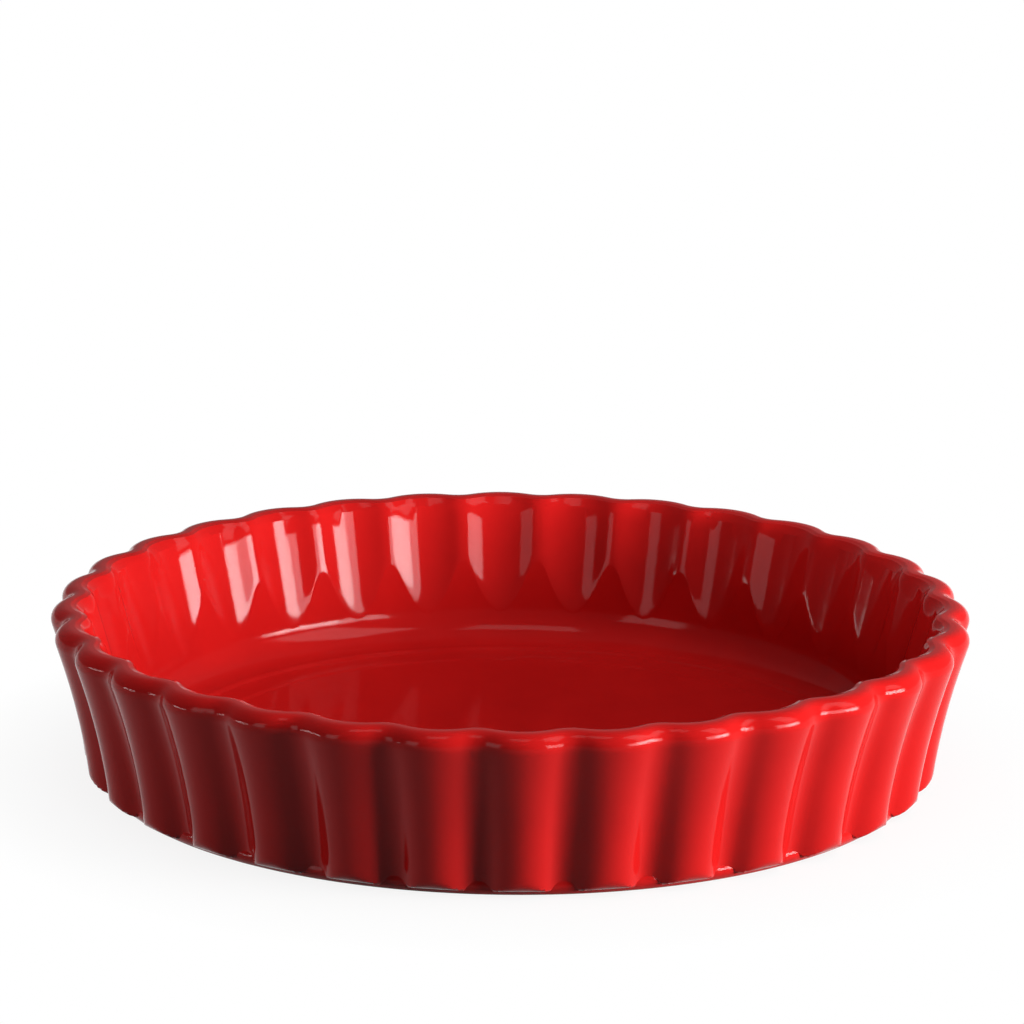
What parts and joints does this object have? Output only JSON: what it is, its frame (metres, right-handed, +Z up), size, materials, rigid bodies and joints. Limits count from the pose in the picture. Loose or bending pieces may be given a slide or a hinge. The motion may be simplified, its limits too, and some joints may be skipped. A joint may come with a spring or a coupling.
{
  "type": "fluted quiche dish",
  "caption": "Deep round quiche dish with a fluted flaring wall, rolled lip, coved bowl and ringed flat floor, glazed all over above a bare foot ring.",
  "frame": {"origin": "on the table, at the centre of the foot", "axes": "+Z up out of the bowl, along the dish's axis; +X through the crest of a flute"},
  "size_m": [0.2816, 0.2816, 0.0524],
  "materials": {
    "fired_clay": "unglazed, matte",
    "red_glaze": "high gloss"
  },
  "bodies": {
    "root": {"stoneware_body": "fired_clay", "glaze_coat": "red_glaze", "base_glaze": "red_glaze"}
  },
  "joints": []
}
